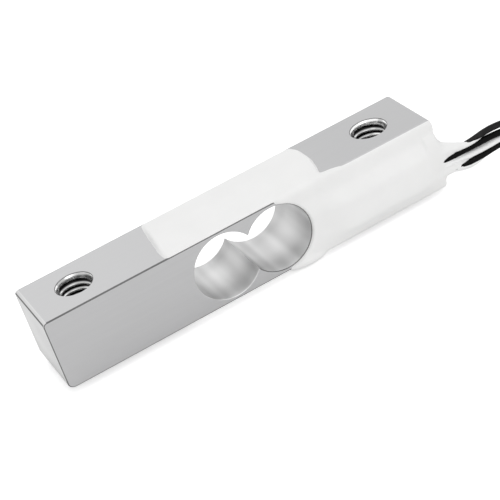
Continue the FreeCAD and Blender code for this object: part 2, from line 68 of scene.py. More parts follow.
def fixNormals(thing):
    bm = bmesh.new()
    bm.from_mesh(thing.data)
    bmesh.ops.remove_doubles(bm, verts=bm.verts, dist=weldDistance)
    bmesh.ops.recalc_face_normals(bm, faces=bm.faces)
    bm.to_mesh(thing.data)
    bm.free()


def wrapRows(name, vertices, count):
    # rows of count points, joined into a tube that is closed at both ends
    faces = []
    for a in range(0, len(vertices) - count, count):
        for i in range(count):
            j = (i + 1) % count
            faces.append((a + i, a + j, a + count + j, a + count + i))
    faces.append(tuple(range(count))[::-1])
    faces.append(tuple(range(len(vertices) - count, len(vertices))))
    tube = addMesh(name, vertices, faces)
    fixNormals(tube)
    return tube


def addModifier(thing, kind, name, **settings):
    modifier = thing.modifiers.new(name, kind)
    for key, value in settings.items():
        setattr(modifier, key, value)
    return modifier


def bakeModifiers(thing):
    bpy.context.view_layer.update()
    evaluated = thing.evaluated_get(bpy.context.evaluated_depsgraph_get())
    mesh = bpy.data.meshes.new_from_object(evaluated)
    thing.modifiers.clear()
    old = thing.data
    thing.data = mesh
    mesh.name = thing.name
    if old.users == 0:
        bpy.data.meshes.remove(old)
    return thing


def removeThing(thing):
    bpy.data.objects.remove(thing, do_unlink=True)


def dress(thing, *materials):
    thing.data.materials.clear()
    for material in materials:
        thing.data.materials.append(material)


# node trees

def newTree(kind, name, inputs, outputs):
    # inputs are (label, type, default); the keys that come back are the inputs' identifiers
    tree = bpy.data.node_groups.new(name, kind)
    keys = {}
    for label, form, value in inputs:
        socket = tree.interface.new_socket(label, in_out="INPUT", socket_type="NodeSocket" + form)
        keys[label] = socket.identifier
        if value is not None:
            socket.default_value = value
    for label, form in outputs:
        tree.interface.new_socket(label, in_out="OUTPUT", socket_type="NodeSocket" + form)
    given = tree.nodes.new("NodeGroupInput").outputs
    result = tree.nodes.new("NodeGroupOutput").inputs
    return tree, keys, given, result


def addNode(tree, kind, inputs=None, **settings):
    # each input is a fixed value or another node's output
    node = tree.nodes.new(kind)
    for key, value in settings.items():
        setattr(node, key, value)
    for label, value in (inputs or {}).items():
        if isinstance(value, bpy.types.NodeSocket):
            tree.links.new(value, node.inputs[label])
        else:
            node.inputs[label].default_value = value
    return node


def calc(tree, operation, *values):
    return addNode(tree, "ShaderNodeMath", dict(enumerate(values)), operation=operation).outputs[0]


def spread(tree, value, low=0.0, high=1.0, source=(0.3, 0.7)):
    # stretches a noise's middle range, or the source given, to low and high
    return addNode(tree, "ShaderNodeMapRange", {
        "Value": value, "From Min": source[0], "From Max": source[1],
        "To Min": low, "To Max": high}).outputs["Result"]


def blend(tree, share, first, second):
    # a colour is (red, green, blue) or another node's output
    first, second = ((*c, 1) if isinstance(c, tuple) else c for c in (first, second))
    return addNode(tree, "ShaderNodeMix", {"Factor": share, "A": first, "B": second},
                   data_type="RGBA").outputs["Result"]


# camera

cameraValues = {
    "place": (-0.06836, -0.22386, 0.14805),
    "right": (0.85204, -0.44481, -0.27598),
    "up": (0.45813, 0.37855, 0.80425),
    "lens": 123.904,
    "sensor": 36.0,
    "clipStart": 0.005,
    "clipEnd": 20,
}


def makeCamera():
    v = cameraValues
    lens = bpy.data.cameras.new("camera")
    lens.lens = v["lens"]
    lens.sensor_width = v["sensor"]
    lens.clip_start = v["clipStart"]
    lens.clip_end = v["clipEnd"]
    camera = linkThing("camera", lens)
    right = Vector(v["right"]).normalized()
    back = right.cross(Vector(v["up"])).normalized()
    turn = Matrix((right, back.cross(right), back)).transposed()
    camera.matrix_world = Matrix.Translation(v["place"]) @ turn.to_4x4()
    bpy.context.scene.camera = camera


makeCamera()
print("camera set")


# shader groups

grainValues = {
    "patchDetail": 2.0,
    "patchShare": 0.4,
    "bumpHeight": 0.00002,
}
mottleValues = {
    "broadDetail": 3.0,
    "fineDetail": 1.0,
    "fineShare": 0.25,
    "bumpHeight": 0.0001,
}
threadShadeValues = {
    "holePlace": 0.027,
    "crestRadius": 0.00262,
    "rootRadius": 0.00284,
    "middle": 0.00635,
    "turnsReach": 0.0053,  # the roots take painted shade this far from the middle, up and down
    "mouthReach": 0.0054,  # and the countersinks past here stay free of painted shade
    "blotchScale": 330,
    "blotchRange": (0.46, 0.54),
    "metal": 0.9,
}


def makeGrainGroup():
    # fine lines stretched one way, with broad cloudy patches behind them
    v = grainValues
    tree, _, given, result = newTree(
        "ShaderNodeTree", "machinedGrain",
        [("Lines", "Vector", (1, 1, 1)), ("Patch Scale", "Float", 60.0),
         ("Depth", "Float", 0.1), ("Detail", "Float", 3.0)],
        [("Tone", "Float"), ("Normal", "Vector")])
    place = addNode(tree, "ShaderNodeTexCoord").outputs["Object"]
    stretched = addNode(tree, "ShaderNodeVectorMath", {0: place, 1: given["Lines"]},
                        operation="MULTIPLY").outputs[0]
    lines = addNode(tree, "ShaderNodeTexNoise", {
        "Vector": stretched, "Scale": 1.0, "Detail": given["Detail"]}).outputs["Fac"]
    patches = addNode(tree, "ShaderNodeTexNoise", {
        "Vector": place, "Scale": given["Patch Scale"], "Detail": v["patchDetail"]}).outputs["Fac"]
    both = addNode(tree, "ShaderNodeMix", {"Factor": v["patchShare"], "A": lines, "B": patches})
    bump = addNode(tree, "ShaderNodeBump", {
        "Strength": given["Depth"], "Distance": v["bumpHeight"], "Height": lines})
    tree.links.new(both.outputs["Result"], result["Tone"])
    tree.links.new(bump.outputs["Normal"], result["Normal"])
    return tree


def makeMottleGroup():
    # soft mottling and small pits for moulded or cured things
    v = mottleValues
    tree, _, given, result = newTree(
        "ShaderNodeTree", "softMottle",
        [("Scale", "Float", 200.0), ("Pit Scale", "Float", 1500.0), ("Depth", "Float", 0.1)],
        [("Tone", "Float"), ("Normal", "Vector")])
    place = addNode(tree, "ShaderNodeTexCoord").outputs["Object"]
    broad = addNode(tree, "ShaderNodeTexNoise", {
        "Vector": place, "Scale": given["Scale"], "Detail": v["broadDetail"]}).outputs["Fac"]
    fine = addNode(tree, "ShaderNodeTexNoise", {
        "Vector": place, "Scale": given["Pit Scale"], "Detail": v["fineDetail"]}).outputs["Fac"]
    bump = addNode(tree, "ShaderNodeBump", {
        "Strength": given["Depth"], "Distance": v["bumpHeight"],
        "Height": calc(tree, "MULTIPLY_ADD", fine, v["fineShare"], broad)})
    tree.links.new(broad, result["Tone"])
    tree.links.new(bump.outputs["Normal"], result["Normal"])
    return tree


def makeThreadGroup():
    # where a thread's roots take painted shade, by the distance from its hole's axis, and a
    # blotchy tone
    v = threadShadeValues
    tree, _, given, result = newTree(
        "ShaderNodeTree", "threadShade",
        [("Hole Place", "Float", 0.027), ("Crest Radius", "Float", 0.0025),
         ("Root Radius", "Float", 0.003)],
        [("Root", "Float"), ("Tone", "Float")])
    place = addNode(tree, "ShaderNodeTexCoord").outputs["Object"]
    parts = addNode(tree, "ShaderNodeSeparateXYZ", {0: place}).outputs
    off = calc(tree, "SUBTRACT", calc(tree, "ABSOLUTE", parts["X"]), given["Hole Place"])
    flat = addNode(tree, "ShaderNodeCombineXYZ", {"X": off, "Y": parts["Y"]}).outputs[0]
    reach = addNode(tree, "ShaderNodeVectorMath", {0: flat}, operation="LENGTH").outputs["Value"]
    deep = addNode(tree, "ShaderNodeMapRange", {
        "Value": reach, "From Min": given["Crest Radius"], "From Max": given["Root Radius"]},
        interpolation_type="SMOOTHSTEP").outputs["Result"]
    # a countersink is wider than the roots but lies near a face, so it gets no painted shade
    away = calc(tree, "ABSOLUTE", calc(tree, "SUBTRACT", parts["Z"], v["middle"]))
    inside = spread(tree, away, source=(v["mouthReach"], v["turnsReach"]))
    blotch = addNode(tree, "ShaderNodeTexNoise", {
        "Vector": place, "Scale": v["blotchScale"], "Detail": 0.0}).outputs["Fac"]
    tree.links.new(calc(tree, "MULTIPLY", deep, inside), result["Root"])
    tree.links.new(blotch, result["Tone"])
    return tree


grainGroup = makeGrainGroup()
mottleGroup = makeMottleGroup()
threadGroup = makeThreadGroup()


# materials

def newMaterial(name, fixed):
    material = bpy.data.materials.new(name)
    material.use_nodes = True
    shader = material.node_tree.nodes["Principled BSDF"].inputs
    for label, value in fixed.items():
        shader[label].default_value = value
    return material, material.node_tree, shader


def tonedMaterial(name, group, settings, dark, light, rough, fixed):
    # colour and roughness follow the group's tone
    material, tree, shader = newMaterial(name, fixed)
    shade = addNode(tree, "ShaderNodeGroup", settings, node_tree=group).outputs
    colour = blend(tree, spread(tree, shade["Tone"]), dark, light)
    tree.links.new(colour, shader["Base Color"])
    tree.links.new(spread(tree, shade["Tone"], *rough), shader["Roughness"])
    tree.links.new(shade["Normal"], shader["Normal"])
    return material


def metalMaterial(name, dark, light, rough, lines, depth, patchScale=60.0, detail=3.0):
    settings = {"Lines": lines, "Depth": depth, "Patch Scale": patchScale, "Detail": detail}
    return tonedMaterial(name, grainGroup, settings, dark, light, rough, {"Metallic": 1.0})


def mouldedMaterial(name, dark, light, rough, scale, pits, depth, **fixed):
    settings = {"Scale": scale, "Pit Scale": pits, "Depth": depth}
    return tonedMaterial(name, mottleGroup, settings, dark, light, rough, fixed)


def threadMaterial(name, bright, dull, paintedRootShade, rough):
    v = threadShadeValues
    material, tree, shader = newMaterial(name, {"Metallic": v["metal"], "Roughness": rough})
    shade = addNode(tree, "ShaderNodeGroup", {
        "Hole Place": v["holePlace"], "Crest Radius": v["crestRadius"],
        "Root Radius": v["rootRadius"]}, node_tree=threadGroup).outputs
    crest = blend(tree, spread(tree, shade["Tone"], source=v["blotchRange"]), dull, bright)
    # painted shade: the roots turn near black
    tree.links.new(blend(tree, shade["Root"], crest, paintedRootShade), shader["Base Color"])
    return material


# name, dark and light tone, roughness, lines per metre along X, Y and Z, depth of the grain
barMetal = metalMaterial(
    "milledAluminium", (0.52, 0.52, 0.525), (0.545, 0.545, 0.55), (0.33, 0.37),
    (90, 2600, 2600), 0.08)
boreMetal = metalMaterial(
    "boredAluminium", (0.54, 0.54, 0.54), (0.84, 0.84, 0.84), (0.42, 0.5),
    (520, 35, 520), 0.06, patchScale=90, detail=0.4)
# painted shade: near-black rounded edges and rims, standing in for the shade that falls on them
edgeShadeMetal = metalMaterial(
    "paintedEdgeShade", (0.115, 0.115, 0.115), (0.16, 0.16, 0.16), (0.34, 0.42),
    (90, 2600, 2600), 0.1)
# sawn ends, also used for a painted highlight on the left end's upper edge
endAndHighlightMetal = metalMaterial(
    "sawnEndAndPaintedHighlight", (0.58, 0.58, 0.58), (0.77, 0.77, 0.77), (0.3, 0.4),
    (40, 40, 260), 0.1, patchScale=110, detail=0.5)
tinMetal = metalMaterial(
    "tinnedCopper", (0.62, 0.61, 0.58), (0.74, 0.73, 0.70), (0.2, 0.34),
    (1500, 1500, 1500), 0.2)
# cut threads, with painted shade in their roots
threadMetalWithPaintedShade = threadMaterial(
    "cutThread", (1.0, 1.0, 1.0), (0.55, 0.55, 0.55), (0.012, 0.012, 0.012), 0.17)
# name, dark and light tone, roughness, mottles and pits per metre, depth of both
siliconeWhite = mouldedMaterial(
    "curedSilicone", (0.885, 0.885, 0.88), (0.915, 0.915, 0.91), (0.42, 0.5), 160, 900, 0.05)
leadColours = {
    "lead_excitation_plus": ((0.012, 0.012, 0.012), (0.03, 0.03, 0.03)),
    "lead_excitation_minus": ((0.002, 0.002, 0.002), (0.005, 0.005, 0.005)),
    "lead_signal_plus": ((0.93, 0.93, 0.93), (0.97, 0.97, 0.97)),
    "lead_signal_minus": ((0.003, 0.003, 0.003), (0.008, 0.008, 0.008)),
}
leadMaterials = {
    name: mouldedMaterial(name + "_cover", dark, light, (0.3, 0.38), 700, 2500, 0.05,
                          **{"Specular IOR Level": 0.06})
    for name, (dark, light) in leadColours.items()
}
# finishes of the pieces kept from the frame, by how their names start
keptMaterials = {
    "gauge_carrier": mouldedMaterial(
        "polyimideFilm", (0.42, 0.19, 0.03), (0.55, 0.27, 0.05), (0.2, 0.3), 400, 2000, 0.03),
    "gauge_foil": metalMaterial(
        "etchedFoil", (0.36, 0.33, 0.29), (0.46, 0.43, 0.38), (0.3, 0.42), (3000, 600, 600), 0.1),
    "terminal_strip": mouldedMaterial(
        "terminalFilm", (0.34, 0.18, 0.04), (0.45, 0.26, 0.07), (0.35, 0.5), 500, 2600, 0.1),
    "lead_board": mouldedMaterial(
        "glassLaminate", (0.30, 0.26, 0.10), (0.40, 0.36, 0.16), (0.4, 0.55), 500, 2600, 0.1),
    "balance_resistor": mouldedMaterial(
        "resistorBody", (0.012, 0.012, 0.012), (0.03, 0.03, 0.03), (0.4, 0.5), 900, 3000, 0.1),
    "solder_joints": metalMaterial(
        "solderTin", (0.55, 0.55, 0.54), (0.68, 0.68, 0.66), (0.15, 0.3), (900, 900, 900), 0.2),
    "gauge_wires": mouldedMaterial(
        "wireEnamel", (0.30, 0.07, 0.02), (0.42, 0.12, 0.04), (0.15, 0.25), 1200, 4000, 0.02),
    "bridge_jumpers": mouldedMaterial(
        "jumperEnamel", (0.26, 0.06, 0.02), (0.36, 0.10, 0.03), (0.15, 0.25), 1200, 4000, 0.02),
    "coil_tie": mouldedMaterial(
        "tiePaper", (0.02, 0.02, 0.02), (0.04, 0.04, 0.04), (0.45, 0.6), 800, 3000, 0.2),
}
for nodeName, node in nodes.items():
    for start, material in keptMaterials.items():
        if nodeName.startswith(start):
            dress(node, material)
print("materials made")


# the leads

hankValues = {
    "start": 0.0595,
    "end": 0.097,
    "lastEnd": 0.066,
    "middle": -0.0003,
    "radius": 0.0066,
    "turnPitch": 0.00235,
    "pitch": 0.00112,
    "pointsPerHalf": 12,
    "halfTurns": 3,
    "bevelSteps": 5,
    "pathSteps": 8,
}
levels = {"low": -0.0002, "high": 0.00092}
justUnder = 0.000001  # keeps an arc's last point with the end that the arc started at
leadDiameter = 0.0011
layY = -0.0069
# route points, which side of the bundle the lead takes, and its level in the hank
leadRoutes = {
    "lead_excitation_plus": (
        [(0.0187, layY, 0.00635), (0.0285, layY, 0.0064), (0.0340, layY, 0.0062),
         (0.0394, -0.0067, 0.00525), (0.0454, -0.0068, 0.00635), (0.0518, -0.0065, 0.0044),
         (0.0565, -0.00634, 0.00092), (0.0595, -0.00634, 0.00092)],
        1, "high"),
    "lead_excitation_minus": (
        [(0.0187, layY, 0.0052), (0.0285, layY, 0.0053), (0.0390, -0.00705, 0.00480),
         (0.0472, -0.0070, 0.00478), (0.0518, -0.0074, 0.0029), (0.0565, -0.00746, 0.00092),
         (0.0595, -0.00746, 0.00092)],
        -1, "high"),
    "lead_signal_plus": (
        [(0.0187, layY, 0.00405), (0.0285, layY, 0.0042), (0.0355, layY, 0.00412),
         (0.0415, layY, 0.0033), (0.0480, -0.0070, 0.0037), (0.0522, -0.0074, 0.0014),
         (0.0560, -0.00746, -0.0002), (0.0595, -0.00746, -0.0002)],
        -1, "low"),
    "lead_signal_minus": (
        [(0.0187, layY, 0.0029), (0.0285, layY, 0.0030), (0.0345, layY, 0.0030),
         (0.0395, layY, 0.00195), (0.0475, -0.0068, 0.0027), (0.0520, -0.0064, 0.0007),
         (0.0560, -0.00634, -0.0002), (0.0595, -0.00634, -0.0002)],
        1, "low"),
}


def hankPoint(side, level, halfTurns):
    # the bundle's path: round the right end, back along the far side, round the left end
    v = hankValues
    turned = math.pi * halfTurns
    radius = v["radius"] - v["turnPitch"] * halfTurns / 2
    x = v["end"] if int(halfTurns) % 2 == 0 else v["start"]
    # the curve cuts its points' corners, so they stand a little further out
    reach = (radius - side * v["pitch"] / 2) / math.cos(math.pi / 2 / v["pointsPerHalf"])
    return Vector((x + reach * math.sin(turned), v["middle"] - reach * math.cos(turned),
                   levels[level]))


def makeLead(name, route, side, level):
    v = hankValues
    points = [Vector(p) for p in route]
    for half in range(v["halfTurns"]):
        for i in range(v["pointsPerHalf"] + 1):
            share = min(i / v["pointsPerHalf"], 1 - justUnder)
            points.append(hankPoint(side, level, half + share))
    points.append(Vector((v["lastEnd"], *points[-1].yz)))
    curve = bpy.data.curves.new(name, "CURVE")
    curve.dimensions = "3D"
    curve.bevel_depth = leadDiameter / 2
    curve.bevel_resolution = v["bevelSteps"]
    curve.use_fill_caps = True
    curve.resolution_u = v["pathSteps"]
    spline = curve.splines.new("NURBS")
    spline.points.add(len(points) - 1)
    for held, point in zip(spline.points, points):
        held.co = (*point, 1)
    spline.order_u = 3
    spline.use_endpoint_u = True
    curve.materials.append(leadMaterials[name])
    return linkThing(name + "_cover", curve)


for leadName, (route, side, level) in leadRoutes.items():
    lead = makeLead(leadName, route, side, level)
    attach(lead, root)
    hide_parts(leadName, "lead_coil")
print("leads made")


# pieces grown by Geometry Nodes

def endTree(tree, geometry, material, result):
    real = addNode(tree, "GeometryNodeRealizeInstances", {0: geometry}).outputs[0]
    finish = addNode(tree, "GeometryNodeSetMaterial", {"Geometry": real, "Material": material})
    tree.links.new(finish.outputs["Geometry"], result["Geometry"])


def growPiece(name, tree, keys, sizes):
    thing = addMesh(name, [(0, 0, 0)], [])
    modifier = addModifier(thing, "NODES", "grow", node_group=tree)
    for label, size in sizes.items():
        modifier[keys[label]] = size
    return bakeModifiers(thing)


# tinned ends: seven strands twisted round each other

strandValues = {
    "strandDiameter": 0.00018,
    "layRadius": 0.00018,
    "twists": 1.6,
    "length": 0.005,
    "outerStrands": 6,
    "pathSteps": 14,
    "sides": 8,
}


def strandTree(material):
    v = strandValues
    tree, keys, given, result = newTree(
        "GeometryNodeTree", "twistedStrands",
        [("Geometry", "Geometry", None), ("Strand Diameter", "Float", 0.00018),
         ("Lay Radius", "Float", 0.00018), ("Twists", "Float", 1.6), ("Length", "Float", 0.005),
         ("Outer Strands", "Int", 6)],
        [("Geometry", "Geometry")])
    tree.is_modifier = True
    helix = addNode(tree, "GeometryNodeCurveSpiral", {
        "Resolution": v["pathSteps"], "Rotations": given["Twists"],
        "Start Radius": given["Lay Radius"], "End Radius": given["Lay Radius"],
        "Height": given["Length"]}).outputs["Curve"]
    seats = addNode(tree, "GeometryNodeMeshLine", {
        "Count": given["Outer Strands"], "Offset": (0, 0, 0)}, mode="OFFSET").outputs["Mesh"]
    index = addNode(tree, "GeometryNodeInputIndex").outputs[0]
    angle = calc(tree, "MULTIPLY", calc(tree, "DIVIDE", index, given["Outer Strands"]),
                 2 * math.pi)
    turn = addNode(tree, "ShaderNodeCombineXYZ", {"Z": angle}).outputs[0]
    laid = addNode(tree, "GeometryNodeInstanceOnPoints", {
        "Points": seats, "Instance": helix, "Rotation": turn}).outputs["Instances"]
    top = addNode(tree, "ShaderNodeCombineXYZ", {"Z": given["Length"]}).outputs[0]
    core = addNode(tree, "GeometryNodeCurvePrimitiveLine", {"End": top}).outputs["Curve"]
    joined = addNode(tree, "GeometryNodeJoinGeometry", {0: laid})
    tree.links.new(core, joined.inputs[0])
    real = addNode(tree, "GeometryNodeRealizeInstances", {0: joined.outputs[0]}).outputs[0]
    ring = addNode(tree, "GeometryNodeCurvePrimitiveCircle", {
        "Resolution": v["sides"],
        "Radius": calc(tree, "MULTIPLY", given["Strand Diameter"], 0.5)}).outputs["Curve"]
    skin = addNode(tree, "GeometryNodeCurveToMesh", {
        "Curve": real, "Profile Curve": ring, "Fill Caps": True}).outputs["Mesh"]
    endTree(tree, skin, material, result)
    return tree, keys


strandNodes, strandKeys = strandTree(tinMetal)


def makeTip(name, side, level):
    v = strandValues
    thing = growPiece("strands_" + name, strandNodes, strandKeys, {
        "Strand Diameter": v["strandDiameter"], "Lay Radius": v["layRadius"],
        "Twists": v["twists"], "Length": v["length"], "Outer Strands": v["outerStrands"]})
    start = hankPoint(side, level, hankValues["halfTurns"] - justUnder)
    start.x = hankValues["lastEnd"]
    turn = Vector((-1, 0, 0)).to_track_quat("Z", "Y").to_matrix().to_4x4()
    thing.data.transform(Matrix.Translation(start) @ turn)
    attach(thing, root)
    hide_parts(name.replace("lead", "tinned_end"))
    return thing


for leadName, (route, side, level) in leadRoutes.items():
    makeTip(leadName, side, level)
print("tinned ends made")


# the bar, in millimetres

barValues = {
    "lowerCorner": 1.15,
    "upperCorner": 0.7,
    "cornerSteps": 8,
    "edgeRound": 0.2,
    "edgeSteps": 4,
    "coveredFrom": 16.0,
    "boreRadius": 5.7,
    "boreOffset": 4.75,
    "boreRimBreak": 0.1,
    "boreSteps": 144,
    "holeOffset": 27.0,
    "threadRadius": 3.0,
    "mouthRadius": 3.15,
    "mouthDepth": 0.6,
    "mouthFoot": 2.56,
    "mouthEdge": 0.09,
    "grooveDepth": 0.85,
    "holeSteps": 96,
    "overshoot": 1,
    # how far along an axis a normal points, for a face to count as that part of the bar
    "flatNormal": 0.9999,
    "boreNormal": 0.9,
    "holeNormal": 0.95,
    "endNormal": 0.95,
    "rimNormal": 0.3,
    "crownNormal": 0.75,
    "sideNormal": 0.2,
    "slack": 0.05,
}
barHalf, barTall = (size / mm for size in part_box("beam")[1][1:])


def barProfile(low, high, inset):
    v = barValues
    steps = v["cornerSteps"]
    corners = [(low.x, low.z, v["lowerCorner"], 180), (high.x, low.z, v["lowerCorner"], 270),
               (high.x, high.z, v["upperCorner"], 0), (low.x, high.z, v["upperCorner"], 90)]
    points = []
    for x, z, radius, start in corners:
        radius *= mm
        cx = x + radius if x < 0 else x - radius
        cz = z + radius if z == low.z else z - radius
        for i in range(steps + 1):
            angle = math.radians(start + 90 * i / steps)
            reach = radius - inset
            points.append((cx + reach * math.cos(angle), cz + reach * math.sin(angle)))
        if z == high.z and x > 0:
            # the silicone covers the upper edge from here to the leads' end
            points.append((v["coveredFrom"] * mm, high.z - inset))
    return points


def roundedBlock(name):
    low, high = (Vector(p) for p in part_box("beam"))
    edge = barValues["edgeRound"] * mm
    steps = barValues["edgeSteps"]
    turn = [math.radians(90 * i / steps) for i in range(steps + 1)]
    near = [(low.y + edge * (1 - math.cos(a)), edge * (1 - math.sin(a))) for a in turn]
    rows = near + [(-y, inset) for y, inset in near[::-1]]
    vertices = []
    for y, inset in rows:
        vertices += [(x, y, z) for x, z in barProfile(low, high, inset)]
    return wrapRows(name, vertices, len(vertices) // len(rows))


def lathe(name, rows, centre, axis, steps):
    # rows are (distance along the axis, radius) in millimetres
    turn = Vector(axis).to_track_quat("Z", "Y").to_matrix()
    vertices = []
    for along, radius in rows:
        for i in range(steps):
            angle = 2 * math.pi * i / steps
            spoke = Vector((radius * math.cos(angle), radius * math.sin(angle), along)) * mm
            vertices.append(Vector(centre) + turn @ spoke)
    return wrapRows(name, vertices, steps)


def cutWith(thing, cutters):
    for cutter in cutters:
        addModifier(thing, "BOOLEAN", "cut", object=cutter, operation="DIFFERENCE",
                    solver="MANIFOLD")
    bakeModifiers(thing)
    for cutter in cutters:
        removeThing(cutter)


def sortFaces(thing):
    # big flat faces stay flat shaded, so that the small rounds beside them don't tint them;
    # slots: 0 milled faces, 1 bored walls, 2 painted edge shade, 3 tapped holes, 4 sawn ends and a
    # painted highlight
    v = barValues
    for face in thing.data.polygons:
        n, c = face.normal, face.center / mm
        across, up = abs(n.y), n.z > v["crownNormal"]
        square = max(abs(part) for part in n) > v["flatNormal"]
        toBore = min(math.hypot(c.x - sign * v["boreOffset"], c.z - barTall / 2)
                     for sign in (-1, 1))
        toHole = min(math.hypot(c.x - sign * v["holeOffset"], c.y) for sign in (-1, 1))
        bored = across < v["boreNormal"] and toBore < v["boreRadius"] + 2 * v["boreRimBreak"]
        tapped = abs(n.z) < v["holeNormal"] and toHole < v["mouthRadius"] + v["slack"]
        face.use_smooth = bored or tapped or not square
        if bored:
            # the right bore's rim, where the silicone ends, takes painted shade
            face.material_index = 2 if across > v["rimNormal"] and c.x > 0 else 1
        elif tapped:
            # the countersink's outer ring takes painted shade
            face.material_index = 2 if toHole > v["mouthRadius"] - v["mouthEdge"] else 3
        elif abs(n.x) > v["endNormal"]:
            face.material_index = 4
        elif not square:
            # the crown of the left end's upper corner is a painted highlight, the other edges are
            # painted shade, and an edge under the silicone keeps the finish of the faces
            crowned = up or across > v["sideNormal"]
            bright = n.x < -v["slack"] and across < v["crownNormal"] and crowned
            covered = c.x > v["coveredFrom"] and crowned
            face.material_index = 4 if bright else 0 if covered else 2


def makeBar():
    v = barValues
    bar = roundedBlock("milled_bar")
    rim, radius, past = v["boreRimBreak"], v["boreRadius"], v["overshoot"]
    cutters = []
    for sign in (-1, 1):
        rows = [(-barHalf - past, radius + rim + past), (-barHalf, radius + rim),
                (-barHalf + rim, radius), (barHalf - rim, radius), (barHalf, radius + rim),
                (barHalf + past, radius + rim + past)]
        centre = (sign * v["boreOffset"] * mm, 0, barTall * mm / 2)
        cutters.append(lathe("bore_cutter", rows, centre, (0, 1, 0), v["boreSteps"]))
    mouth, foot, thread = v["mouthRadius"], v["mouthFoot"], v["threadRadius"]
    lip, deep, groove = v["mouthEdge"], v["mouthDepth"], v["grooveDepth"]
    for sign in (-1, 1):
        rows = [(-past, mouth + past), (0, mouth), (lip, mouth - lip), (deep, foot),
                (groove, thread), (barTall - groove, thread), (barTall - deep, foot),
                (barTall - lip, mouth - lip), (barTall, mouth), (barTall + past, mouth + past)]
        centre = (sign * v["holeOffset"] * mm, 0, 0)
        cutters.append(lathe("hole_cutter", rows, centre, (0, 0, 1), v["holeSteps"]))
    cutWith(bar, cutters)
    dress(bar, barMetal, boreMetal, edgeShadeMetal, threadMetalWithPaintedShade, endAndHighlightMetal)
    sortFaces(bar)
    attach(bar, root)
    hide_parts("beam")


makeBar()
print("bar made")


# threads: a rib swept along a helix, in millimetres

threadValues = {
    "pitch": 1.0,
    "rootRadius": 3.01,
    "crestRadius": 2.48,
    "crestFlat": 0.16,
    "start": 0.2,
    "runOut": 0.35,
    "stepsPerTurn": 72,
    "stepsAcross": 7,
}


def threadTree(material):
    tree, keys, given, result = newTree(
        "GeometryNodeTree", "cutThreadTurns",
        [("Geometry", "Geometry", None), ("Turns", "Float", 11.0), ("Pitch", "Float", 0.001),
         ("Root Radius", "Float", 0.003), ("Crest Radius", "Float", 0.0025),
         ("Crest Flat", "Float", 0.16), ("Run Out", "Float", 0.03), ("Across", "Int", 9),
         ("Along", "Int", 800)],
        [("Geometry", "Geometry")])
    tree.is_modifier = True

    def sums(operation, *values):
        return calc(tree, operation, *values)

    # a flat grid: X runs across the rib from -0.5 to 0.5, Y runs along it from 0 to 1
    grid = addNode(tree, "GeometryNodeMeshGrid", {
        "Size X": 1.0, "Size Y": 1.0, "Vertices X": given["Across"],
        "Vertices Y": given["Along"]}).outputs["Mesh"]
    place = addNode(tree, "GeometryNodeInputPosition").outputs[0]
    parts = addNode(tree, "ShaderNodeSeparateXYZ", {0: place}).outputs
    across, along = parts["X"], sums("ADD", parts["Y"], 0.5)
    turns = sums("MULTIPLY", along, given["Turns"])
    angle = sums("MULTIPLY", turns, 2 * math.pi)
    # height of the rib across its width, and how it fades at both ends
    side = sums("SUBTRACT", 0.5, sums("ABSOLUTE", across))
    flat = sums("SUBTRACT", 0.5, sums("MULTIPLY", given["Crest Flat"], 0.5))
    rise = sums("MINIMUM", sums("DIVIDE", side, flat), 1.0)
    ends = sums("MINIMUM", along, sums("SUBTRACT", 1.0, along))
    fade = sums("MINIMUM", sums("DIVIDE", ends, given["Run Out"]), 1.0)
    depth = sums("SUBTRACT", given["Root Radius"], given["Crest Radius"])
    inward = sums("MULTIPLY", sums("MULTIPLY", rise, fade), depth)
    radius = sums("SUBTRACT", given["Root Radius"], inward)
    spot = addNode(tree, "ShaderNodeCombineXYZ", {
        "X": sums("MULTIPLY", radius, sums("COSINE", angle)),
        "Y": sums("MULTIPLY", radius, sums("SINE", angle)),
        "Z": sums("MULTIPLY", sums("ADD", turns, across), given["Pitch"])}).outputs[0]
    swept = addNode(tree, "GeometryNodeSetPosition", {
        "Geometry": grid, "Position": spot}).outputs["Geometry"]
    welded = addNode(tree, "GeometryNodeMergeByDistance", {
        "Geometry": swept, "Distance": weldDistance}).outputs["Geometry"]
    soft = addNode(tree, "GeometryNodeSetShadeSmooth", {"Geometry": welded})
    endTree(tree, soft.outputs["Geometry"], material, result)
    return tree, keys


threadNodes, threadKeys = threadTree(threadMetalWithPaintedShade)


def facesInward(thing, x):
    # the rib's faces look at the hole's middle line
    mesh = thing.data
    face = mesh.polygons[len(mesh.polygons) // 2]
    towards = Vector((x, 0, face.center.z)) - face.center
    if face.normal.dot(towards) < 0:
        mesh.flip_normals()


def makeThread(name, sign):
    v = threadValues
    turns = (barTall - 2 * v["start"]) / v["pitch"] - 1
    thing = growPiece(name, threadNodes, threadKeys, {
        "Turns": turns, "Pitch": v["pitch"] * mm, "Root Radius": v["rootRadius"] * mm,
        "Crest Radius": v["crestRadius"] * mm, "Crest Flat": v["crestFlat"],
        "Run Out": v["runOut"] / turns, "Across": v["stepsAcross"],
        "Along": int(turns * v["stepsPerTurn"])})
    x = sign * barValues["holeOffset"] * mm
    thing.data.transform(Matrix.Translation((x, 0, (v["start"] + v["pitch"] / 2) * mm)))
    facesInward(thing, x)
    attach(thing, root)


makeThread("thread_load_end", -1)
makeThread("thread_fixed_end", 1)
print("threads made")


# the silicone, in millimetres

